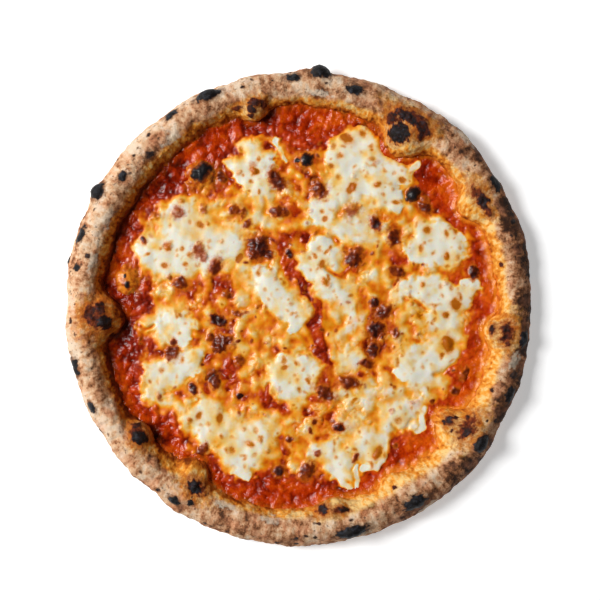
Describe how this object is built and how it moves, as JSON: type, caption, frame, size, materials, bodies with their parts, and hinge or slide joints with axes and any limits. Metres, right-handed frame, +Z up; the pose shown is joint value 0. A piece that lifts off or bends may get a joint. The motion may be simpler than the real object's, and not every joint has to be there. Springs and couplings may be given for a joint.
{
  "type": "margherita pizza",
  "caption": "Round thin-based pizza with a puffed, charred rim, tomato sauce and melted mozzarella.",
  "frame": {"origin": "middle of the flat underside, where the pizza rests", "axes": "+Z up, out of the topping; -Y towards the eater"},
  "size_m": [0.3096, 0.3188, 0.0255],
  "materials": {
    "dough": "matte baked dough, cream to brown with black char spots",
    "sauce": "wet, oily tomato red to orange",
    "cheese": "soft gloss, creamy white with golden brown spots"
  },
  "bodies": {
    "root": {"dough": "dough", "tomato_sauce": "sauce", "mozzarella_01": "cheese", "mozzarella_02": "cheese", "mozzarella_03": "cheese", "mozzarella_04": "cheese", "mozzarella_05": "cheese", "mozzarella_06": "cheese", "mozzarella_07": "cheese", "mozzarella_08": "cheese", "mozzarella_09": "cheese", "mozzarella_10": "cheese", "mozzarella_11": "cheese", "mozzarella_12": "cheese", "mozzarella_13": "cheese", "mozzarella_14": "cheese", "mozzarella_15": "cheese", "mozzarella_16": "cheese", "mozzarella_17": "cheese"}
  },
  "joints": []
}
